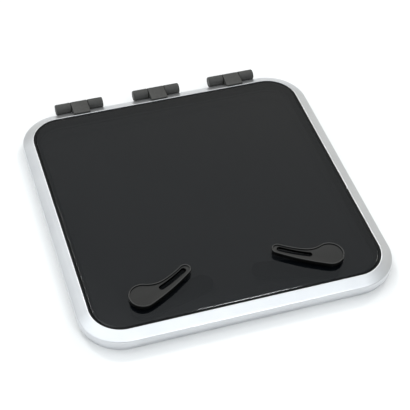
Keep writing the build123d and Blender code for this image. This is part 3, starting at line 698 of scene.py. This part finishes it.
def make_hinge_leaf(side, x):
    """Middle knuckle with a flat plate that runs forward over the lid's border.

    The outline goes forward along the plate's top, round its front, back along the bevel, and
    then round the barrel from its front to its top.
    """
    half = half_length(f"hinge_leaf_{side}")
    front = extent(f"hinge_leaf_{side}")[0][1] - HINGE_Y
    plate_top = 34.6 - HINGE_Z
    under = bevel_height(front + HINGE_Y) - HINGE_Z
    fold = (LID_HALF - HINGE_Y, bevel_height(LID_HALF) - HINGE_Z)
    barrel_front, barrel_top = 201.0, 448.0
    steps = 6
    corners = [(0, BARREL_RADIUS), (front, plate_top), (front, under), fold]
    plate = round_corners(corners, [0.4, 1.1, 0.3, 0.3], steps)[steps - 1:]
    outline = divided(np.concatenate([plate, barrel_arc(barrel_front, barrel_top)]), spacing=1.6)
    shell = slab(outline, -half, half, 0.55, crosswise(x), matching_circle(outline, FRICTION_RADIUS))
    piece(f"hinge_plate_{side}", to_mesh(shell), f"hinge_leaf_{side}", sharp=40)


def make_hinge_inside(side, x):
    """Pin, friction bush, thrust washers and end caps of one hinge."""
    centre, axis = (x, HINGE_Y, HINGE_Z), (1, 0, 0)
    both_ways = (-1, 1)
    pin_half, chamfer = half_length(f"hinge_pin_{side}"), 0.6
    pin = [(PIN_RADIUS - chamfer, -pin_half), (PIN_RADIUS, -pin_half + chamfer),
           (PIN_RADIUS, pin_half - chamfer), (PIN_RADIUS - chamfer, pin_half)]
    piece(f"pin_{side}", to_mesh(turned(pin, centre, axis, 40)), f"hinge_pin_{side}")
    bush_half, bush_bore = half_length(f"hinge_bush_{side}"), 4.05
    bush = square_ring(bush_bore, FRICTION_RADIUS, -bush_half, bush_half)
    piece(f"friction_bush_{side}", to_mesh(turned(bush, centre, axis, 48, ring=True)), f"hinge_bush_{side}")
    washer_radius, washer_start = 6.6, 14.4
    washer = square_ring(PIN_RADIUS, washer_radius, washer_start, KNUCKLE_START)
    washers = [turned(washer * np.array([1, way]), centre, axis, 48, ring=True) for way in both_ways]
    piece(f"thrust_washers_{side}", to_mesh(joined(*washers)), f"hinge_washers_{side}")
    end = extent(f"hinge_caps_{side}")[1][0] - x
    plug, plug_length, cap_radius, cap_length, edge = 3.9, 2.7, 8.6, 1.2, 0.9
    dome = np.radians(np.linspace(0, 90, 7))
    rim = np.stack([cap_radius - edge + edge * np.cos(dome), end - edge + edge * np.sin(dome)], 1)
    seat = [(plug, end - plug_length), (plug, end - cap_length), (cap_radius, end - cap_length)]
    cap = np.concatenate([seat, rim])
    caps = [turned(cap * np.array([1, way]), centre, axis, 48) for way in both_ways]
    piece(f"knuckle_caps_{side}", to_mesh(joined(*caps)), f"hinge_caps_{side}")


def cap_screw(seat, axis, head, thick, shank, length):
    """Socket cap screw: plain shank, head and hexagon socket, as rows round the axis.

    The axis points along the shank, and height 0 is the seat under the head.
    """
    angles = np.linspace(0, 2 * math.pi, 48, endpoint=False)
    socket = polygon_radius(angles, HEXAGON, head * 0.45)
    point, head_edge, socket_edge, socket_depth = 0.4, 0.5, 0.15, 1.2
    rows = [
        (shank - point, length), (shank, length - point), (shank, 0),
        (head, 0), (head, -thick + head_edge), (head - head_edge, -thick),
        (socket + socket_edge, -thick), (socket, -thick + socket_edge), (socket, -thick + socket_depth),
    ]
    axis, first, second = square_to(axis)
    return prism(rows, angles, (seat, first, second, axis), capped=True)


def make_hinge_screws():
    """Bracket screws from inside the base's rim, and leaf screws square to the lid's bevel."""
    bracket, leaf = [], []
    run = LID_HALF - POCKET_HALF - LIP_WIDTH
    normal = np.array([0, FOLD_DROP, run]) / math.hypot(FOLD_DROP, run)
    head, thick, shank = 3.0, 2.2, 2.0
    bracket_reach, bracket_height, bracket_length = 27.0, 6.4, 8.5
    leaf_reach, leaf_y, leaf_length = 8.0, 243.5, 7.5
    for x in HINGES.values():
        for way in (-1, 1):
            seat = (x + way * bracket_reach, BASE_HALF - RIM_WALL, bracket_height)
            bracket.append(cap_screw(seat, (0, 1, 0), head, thick, shank, bracket_length))
            outside = np.array([x + way * leaf_reach, leaf_y, bevel_height(leaf_y)])
            seat = outside - normal * BEVEL_WALL
            leaf.append(cap_screw(seat, normal, head, thick, shank, leaf_length))
    piece("bracket_screws", to_mesh(joined(*bracket)), "hinge_bracket_screws")
    piece("plate_screws", to_mesh(joined(*leaf)), "hinge_leaf_screws")


# ---------------------------------------------------------------- locks
def arc(centre, start, end, steps):
    """Arc about a centre from start to end, the short way, without its last point."""
    centre, start, end = (np.asarray(p, float) for p in (centre, start, end))
    first = math.atan2(*(start - centre)[::-1])
    last = math.atan2(*(end - centre)[::-1])
    turn = (last - first + math.pi) % (2 * math.pi) - math.pi
    angles = first + turn * np.arange(steps) / steps
    return circle(np.linalg.norm(start - centre), angles, centre)


def towards(centre, target, distance):
    """Point at a distance from the centre on the way to the target."""
    centre, target = np.asarray(centre, float), np.asarray(target, float)
    return centre + unit(target - centre) * distance


def handle_loops():
    """Outer handle's outline and its slot's, as closed lines that match point for point.

    The hub and the tip are circles. One large arc holds both on the full side: its centre is
    its own radius less theirs away from each. On the hollow side two arcs meet at the neck.
    Their centres lie straight across from it, as far off as makes each arc touch its circle.
    The slot's middle line runs from near to far and bows by 4 s (1 - s) at each share s of the
    way, so that it passes through low half way. Half circles close its ends.
    """
    hub, hub_radius, tip, tip_radius, full_radius = (0.0, 0.0), 21.7, (81.0, 0.0), 9.2, 380.0
    neck = (42.0, 4.6)
    hub_gap, tip_gap = full_radius - hub_radius, full_radius - tip_radius
    full_x = (hub_gap**2 - tip_gap**2 + tip[0]**2) / (2 * tip[0])
    full = (full_x, math.sqrt(hub_gap**2 - full_x**2))
    full_hub, full_tip = towards(full, hub, full_radius), towards(full, tip, full_radius)
    hub_arc = (neck[0]**2 + neck[1]**2 - hub_radius**2) / (2 * (hub_radius - neck[1]))
    tip_arc = ((tip[0] - neck[0])**2 + neck[1]**2 - tip_radius**2) / (2 * (tip_radius - neck[1]))
    hub_side, tip_side = (neck[0], neck[1] + hub_arc), (neck[0], neck[1] + tip_arc)
    hollow_hub, hollow_tip = towards(hub, hub_side, hub_radius), towards(tip, tip_side, tip_radius)
    outline = np.concatenate([
        arc(hub, hollow_hub, (-hub_radius, 0), 26), arc(hub, (-hub_radius, 0), full_hub, 22),
        arc(full, full_hub, full_tip, 44),
        arc(tip, full_tip, (tip[0] + tip_radius, 0), 12), arc(tip, (tip[0] + tip_radius, 0), hollow_tip, 12),
        arc(tip_side, hollow_tip, neck, 24), arc(hub_side, neck, hollow_hub, 20),
    ])
    near, low, far, half = np.array((31.7, -4.9)), np.array((54.0, -3.5)), np.array((78.2, 0.5)), 4.1
    near_steps, side_steps, far_steps = 48, 44, 24
    share = np.linspace(0, 1, side_steps + 1)[:, None]
    bow = low - (near + far) / 2
    line = near + (far - near) * share + bow * 4 * share * (1 - share)
    along = unit(np.gradient(line, axis=0))
    side = np.stack([-along[:, 1], along[:, 0]], 1) * half
    near_way = math.atan2(side[0, 1], side[0, 0])
    far_way = math.atan2(-side[-1, 1], -side[-1, 0])
    slot = np.concatenate([
        circle(half, near_way + math.pi * np.arange(near_steps) / near_steps, near),
        (line - side)[:-1],
        circle(half, far_way + math.pi * np.arange(far_steps) / far_steps, far),
        (line + side)[:0:-1],
    ])
    return outline, slot


def make_outer_handles():
    """Handle with a thin raised rim, a sunk face, drafted sides and a slot right through.

    Each row of the grid is the outline or the slot moved inwards or outwards by a distance,
    at a height: up the side, over the rim, down into the face, across it, down the slot's
    wall and back along the underside.
    """
    low, high = (corner[2] for corner in extent("outer_handle_left"))
    outline, slot = handle_loops()
    quarter = np.radians(np.linspace(0, 90, 6))
    rim, sink, draft = 0.9, 2.2, 0.3
    face = high - sink
    side_rows = [(draft + 0.5, low), (draft + 0.15, low + 0.15), (draft, low + 0.5)]
    rim_up = [(rim * (1 - math.cos(a)), high - rim * (1 - math.sin(a))) for a in quarter]
    rim_down = [(rim * (1 + math.sin(a)), high - rim * (1 - math.cos(a))) for a in quarter[1:]]
    recess = [(2 * rim + 0.08, face + 0.25), (2 * rim + 0.2, face + 0.05), (2 * rim + 0.5, face)]
    rows = side_rows + rim_up + rim_down + recess
    walls = [
        (0.7, face), (0.2, face - 0.06), (0.05, face - 0.25), (0.0, face - 0.6),
        (0.0, low + 0.6), (0.3, low),
    ]
    loops = [inset(outline, distance) for distance, _ in rows]
    loops += [inset(slot, -distance) for distance, _ in walls]
    heights = [height for _, height in rows + walls]
    axes = level(-LOCK_X, LOCK_Y, HANDLE_ANGLE)
    shell = grid(placed(loops, heights, *axes), wrap_rows=True)
    # Painted light per row: painted shade down the sides, on the rim's flanks, in the recess and on the
    # slot's walls, and a painted highlight along the rim's top.
    side_painted_shade, recess_painted_shade, wall_painted_shade = [-0.9, -0.9, -0.9], [-1, -1, 0], [0, -0.6, -1, -1, -1, -1]
    rim_painted_light = [*np.linspace(-0.6, 1, len(rim_up)), *np.linspace(1, -0.6, len(rim_down))]
    skin = np.repeat(side_painted_shade + rim_painted_light + recess_painted_shade + wall_painted_shade, len(outline))
    for side, way in LOCK_SIDES.items():
        mesh = to_mesh(mirrored(shell, way), skin=skin)
        piece(f"top_handle_{side}", mesh, f"outer_handle_{side}", sharp=50)


def make_inner_handles():
    """Wide lever with a full hub, and the tongue that passes under the keeper.

    The lever's outline is an arc about the end and an arc about the hub, joined by the two
    straight lines that touch both. The end's arc stops short of a half circle by the lean.
    """
    low, high = (corner[2] for corner in extent("inner_handle_left"))
    reach, hub, end = 103.0, 19.0, 17.0
    lever_top, lever_edge = 9.0, 1.6
    counts = [40, 48]
    lean = math.asin((hub - end) / reach)
    angles = np.concatenate([np.linspace(lean - math.pi / 2, math.pi / 2 - lean, counts[0]),
                             np.linspace(math.pi / 2 - lean, 1.5 * math.pi + lean, counts[1])])
    radius = np.repeat([end, hub], counts)[:, None]
    lever = circle(1.0, angles) * radius + np.repeat([[reach, 0.0], [0.0, 0.0]], counts, 0)
    axes = level(-LOCK_X, LOCK_Y, INNER_ANGLE)
    body = slab(divided(lever, spacing=3.0), low, lever_top, lever_edge, axes)
    collar, ease, overlap = hub - lever_edge, 1.2, 3
    boss_rows = [(collar, lever_top - overlap), (collar, high - ease), (collar - ease, high)]
    boss = turned(boss_rows, LEFT_LOCK, UP)
    half, root, tip, tongue_low, tongue_high = 9, 2, -29.2, 3.5, 8.0
    corners = [(-half, root), (-half, tip), (half, tip), (half, root)]
    tongue_line = divided(round_corners(corners, [0.5, 4.5, 4.5, 0.5]), spacing=2.0)
    tongue = slab(tongue_line, tongue_low, tongue_high, 0.5, level(-LOCK_X, LOCK_Y))
    pocket_radius, pocket_top = 7.2, 6.2
    pocket = turned([(pocket_radius, low - 1), (pocket_radius, pocket_top)], LEFT_LOCK, UP)
    for side, way in LOCK_SIDES.items():
        added = [to_mesh(mirrored(shell, way)) for shell in (boss, tongue)]
        solid = combined(to_mesh(mirrored(body, way)), added, "UNION")
        solid = combined(solid, [to_mesh(mirrored(pocket, way))], "DIFFERENCE")
        piece(f"under_handle_{side}", solid, f"inner_handle_{side}")


def make_spindles():
    """Spindle: square, shaft with a seal groove, and a second square turned with the handle.

    Each square is a regular polygon with four sides, cut off by a circle at its corners.
    """
    low, high = (corner[2] for corner in extent("spindle_left"))
    angles = np.linspace(0, 2 * math.pi, 96, endpoint=False)
    bottom_square = np.minimum(polygon_radius(angles, 4, 4.0), 5.4)
    top_square = np.minimum(polygon_radius(angles - math.radians(HANDLE_ANGLE), 4, 4.5), 5.9)
    shaft, hub_top, handle_low, edge = 6.0, 14.0, 34.4, 0.3
    bore, bore_top = 2.1, 16.0
    groove, groove_low, groove_high = 4.6, 27.1, 28.9
    rows = [
        (bore, bore_top), (bore, low),
        (bottom_square - edge, low), (bottom_square, low + edge), (bottom_square, hub_top),
        (shaft, hub_top), (shaft, groove_low), (groove, groove_low),
        (groove, groove_high), (shaft, groove_high), (shaft, handle_low),
        (top_square, handle_low), (top_square, high - edge), (top_square - edge, high),
    ]
    shell = prism(rows, angles, level(-LOCK_X, LOCK_Y), capped=True)
    for side, way in LOCK_SIDES.items():
        piece(f"lock_spindle_{side}", to_mesh(mirrored(shell, way)), f"spindle_{side}")


def wave_washer():
    """Spring washer of the left lock: a flat ring whose height follows a sine with three waves."""
    inside, outside, half_thick, middle, swing = 6.05, 9.5, 0.25, 14.45, 0.16
    angles = np.linspace(0, 2 * math.pi, 64, endpoint=False)
    rows = [(inside, -half_thick), (outside, -half_thick), (outside, half_thick), (inside, half_thick)]
    loops = np.stack([circle(radius, angles) for radius, _ in rows])
    points = placed(loops, np.zeros(len(rows)), *level(-LOCK_X, LOCK_Y))
    wave = swing * np.sin(3 * angles)
    points[..., 2] += middle + wave[None] + np.array([height for _, height in rows])[:, None]
    return grid(points, wrap_rows=True)


def clamp_nut():
    """Hexagon nut of the left lock, with its corners cut back to a circle on both faces."""
    low, high, chamfer, bore, flat, face = 15.6, 21.5, 0.7, 10.0, 15.5, 16.6
    angles = np.linspace(0, 2 * math.pi, 96, endpoint=False)
    hexagon = polygon_radius(angles, HEXAGON, flat)
    cut = np.minimum(hexagon, face)
    rows = [
        (bore, low), (cut, low), (hexagon, low + chamfer),
        (hexagon, high - chamfer), (cut, high), (bore, high),
    ]
    return prism(rows, angles, level(-LOCK_X, LOCK_Y), wrap_rows=True)


def lock_ring_profiles():
    """Name, CAD node and (radius, height) profile of each plain ring round a spindle."""
    shaft, bore, barrel, flange, flange_low, flange_high = 6.05, 9.4, 10.0, 20.0, 32.5, 34.1
    nut_low, nut_high, edge = 15.6, 21.5, 0.8
    bush = [
        (shaft, 15.0), (bore, 15.0), (barrel, nut_low), (barrel, flange_low), (flange, flange_low),
        (flange, flange_high - edge), (flange - edge, flange_high), (shaft, flange_high),
    ]
    seal_turn = np.radians(np.linspace(0, 360, 24, endpoint=False))
    return [
        ("flanged_bush", "lock_bush", round_corners(bush, 0.25, 4)),
        ("upper_seal", "lock_outer_seal", square_ring(barrel, 19, 32.0, flange_low, 0.15)),
        ("lower_seal", "lock_inner_seal", square_ring(barrel, 16, nut_high, 22.0, 0.15)),
        ("ring_seal", "spindle_ring_seal", circle(0.7, seal_turn, (5.325, 28.0))),
        ("plain_washer", "handle_washer", square_ring(2.6, 6.5, 5.2, 6.2)),
    ]


def make_lock_rings():
    """Bush, nut, seals, washers and screw of each lock, round its spindle."""
    rings = lock_ring_profiles()
    spring, nut = wave_washer(), clamp_nut()
    head, thick, shank, length, seat_height = 4.5, 2.2, 2.1, 10.8, 5.2
    screw = cap_screw((-LOCK_X, LOCK_Y, seat_height), UP, head, thick, shank, length)
    for side, way in LOCK_SIDES.items():
        for name, node, profile in rings:
            shell = mirrored(turned(profile, LEFT_LOCK, UP, 72, ring=True), way)
            piece(f"{name}_{side}", to_mesh(shell), f"{node}_{side}")
        piece(f"wave_washer_{side}", to_mesh(mirrored(spring, way)), f"spindle_spring_washer_{side}")
        piece(f"clamp_nut_{side}", to_mesh(mirrored(nut, way)), f"lock_nut_{side}")
        piece(f"lever_screw_{side}", to_mesh(mirrored(screw, way)), f"handle_screw_{side}")


def make_keepers():
    """Keeper plates on the coaming, with the shelf over each tongue, and their screws."""
    low, high = extent("keeper_left")
    half, wall, shelf_half, shelf_low, shelf_high, edge = 24.0, 2.5, 13.0, 8.5, 11.0, 0.3
    face_y = low[1]
    shelf_back, shelf_front = wall - 1, high[1] - face_y
    plate = round_corners([(-half, low[2]), (half, low[2]), (half, high[2]), (-half, high[2])], 4.6)
    corners = [
        (-shelf_half, shelf_back), (shelf_half, shelf_back),
        (shelf_half, shelf_front), (-shelf_half, shelf_front),
    ]
    shelf = round_corners(corners, [0.4, 0.4, 2.5, 2.5])
    backwards = (0, -1, 0)
    screw_reach, screw_height = 19.5, 8.0
    head, thick, shank, length = 3.0, 1.6, 1.6, 5.5
    screws = []
    for side, way in LOCK_SIDES.items():
        x = way * LOCK_X
        upright = slab(divided(plate, 4), -wall, 0, edge, ((x, face_y, 0), (1, 0, 0), UP, backwards))
        ledge = slab(divided(shelf, 4), shelf_low, shelf_high, edge, level(x, face_y))
        angle = combined(to_mesh(upright), [to_mesh(ledge)], "UNION")
        piece(f"keeper_angle_{side}", angle, f"keeper_{side}")
        for hand in (-1, 1):
            seat = (x + hand * screw_reach, face_y + wall, screw_height)
            screws.append(cap_screw(seat, backwards, head, thick, shank, length))
    piece("keeper_cap_screws", to_mesh(joined(*screws)), "keeper_screws")


# ---------------------------------------------------------------- room
def make_table():
    """Wide pale table top, a hair's breadth under the hatch so that the two don't share a plane."""
    reach, gap = 9.0, 0.0002
    mesh = bpy.data.meshes.new("table_top")
    corners = [(-reach, -reach, -gap), (reach, -reach, -gap), (reach, reach, -gap), (-reach, reach, -gap)]
    mesh.from_pydata(corners, [], [(0, 1, 2, 3)])
    table = bpy.data.objects.new("table_top", mesh)
    bpy.context.scene.collection.objects.link(table)
    finish = Finish("pale_table", Roughness=0.75)
    finish.tinted(finish.noise(finish.where(), 3.0), (0.85, 0.85, 0.85), (0.87, 0.87, 0.87))
    mesh.materials.append(finish.material)


def softbox(name, place, target, size, power, colour):
    """Round area light at a place, facing a target, with its width in metres and power in watts."""
    light = bpy.data.lights.new(name, "AREA")
    light.shape, light.size, light.energy, light.color = "DISK", size, power, colour
    lamp = bpy.data.objects.new(name, light)
    lamp.location = place
    lamp.rotation_euler = (Vector(target) - Vector(place)).to_track_quat("-Z", "Y").to_euler()
    bpy.context.scene.collection.objects.link(lamp)


def make_light():
    """Studio surround and three round lights.

    The surround is brightest overhead, towards the front left, and falls off to dark low in
    front. Two key lights stand high behind the hatch, and a small one in front of it.
    """
    world = bpy.data.worlds.new("studio")
    bpy.context.scene.world = world
    world.use_nodes = True
    nodes, links = world.node_tree.nodes, world.node_tree.links
    direction = nodes.new("ShaderNodeTexCoord")
    along = nodes.new("ShaderNodeVectorMath")
    along.operation = "DOT_PRODUCT"
    brightest = unit(np.array((-0.4, -0.4, 0.8)))
    along.inputs[1].default_value = brightest
    share = nodes.new("ShaderNodeMapRange")
    share.inputs["From Min"].default_value = -1.0
    ramp = nodes.new("ShaderNodeValToRGB")
    links.new(direction.outputs["Generated"], along.inputs[0])
    links.new(along.outputs["Value"], share.inputs["Value"])
    links.new(share.outputs["Result"], ramp.inputs["Fac"])
    split = nodes.new("ShaderNodeSeparateXYZ")
    links.new(direction.outputs["Generated"], split.inputs["Vector"])
    depth = nodes.new("ShaderNodeMapRange")
    for key, number in zip(("From Min", "From Max", "To Min", "To Max"), (-0.95, -0.4, 0.15, 1.0)):
        depth.inputs[key].default_value = number
    links.new(split.outputs["Y"], depth.inputs["Value"])
    links.new(depth.outputs["Result"], nodes["Background"].inputs["Strength"])
    warm, cool = (1.0, 1.0, 0.96), (0.94, 0.98, 1.0)
    stops = [
        (0.0, 0.62, warm), (0.5, 0.62, warm), (0.66, 0.60, cool),
        (0.74, 0.85, cool), (0.88, 1.58, cool), (1.0, 1.58, cool),
    ]
    elements = ramp.color_ramp.elements
    while len(elements) < len(stops):
        elements.new(0.5)
    for element, (position, brightness, tint) in zip(elements, stops):
        element.position, element.color = position, (*(brightness * np.array(tint)), 1)
    links.new(ramp.outputs["Color"], nodes["Background"].inputs["Color"])
    middle = (0, 0, 0)
    softbox("right_key", (5.3, 4.5, 7.2), middle, 1.5, 150.0, (1.0, 0.985, 0.95))
    softbox("left_key", (-1.7, 6.2, 7.7), middle, 2.0, 180.0, (1.0, 0.99, 0.96))
    softbox("front_light", (0.7, -2.33, 2.04), (0, -0.23, 0), 0.6, 16.0, (0.95, 0.98, 1.0))


def make_camera():
    """Camera in front of the hatch on the left, looking down on it, rolled a little.

    It stands back from the target by a distance, in the direction that the azimuth (from the
    front, to the right) and the elevation give.
    """
    azimuth, elevation, roll = math.radians(-19.946), math.radians(46.53), math.radians(2.936)
    target = Vector((-0.0022, -0.0281, 0.0325))
    distance = 1.9428
    back = Vector((math.sin(azimuth) * math.cos(elevation), -math.cos(azimuth) * math.cos(elevation),
                   math.sin(elevation)))
    lens = bpy.data.cameras.new("camera")
    lens.sensor_width, lens.lens = 36.0, 107.2
    lens.clip_start, lens.clip_end = 0.05, 60.0
    camera = bpy.data.objects.new("camera", lens)
    bpy.context.scene.collection.objects.link(camera)
    camera.rotation_mode = "QUATERNION"
    aim = (-back).to_track_quat("-Z", "Y")
    camera.rotation_quaternion = (aim.to_matrix() @ Matrix.Rotation(roll, 3, "Z")).to_quaternion()
    camera.location = target + back * distance
    bpy.context.scene.camera = camera


make_camera()
make_light()
make_table()
make_lid_extrusion()
make_base_extrusion()
make_pane()
make_pane_bead()
make_gasket()
for hinge_side, hinge_x in HINGES.items():
    make_hinge_bracket(hinge_side, hinge_x)
    make_hinge_leaf(hinge_side, hinge_x)
    make_hinge_inside(hinge_side, hinge_x)
make_hinge_screws()
make_outer_handles()
make_inner_handles()
make_spindles()
make_lock_rings()
make_keepers()

bpy.context.scene.view_settings.view_transform = "Standard"
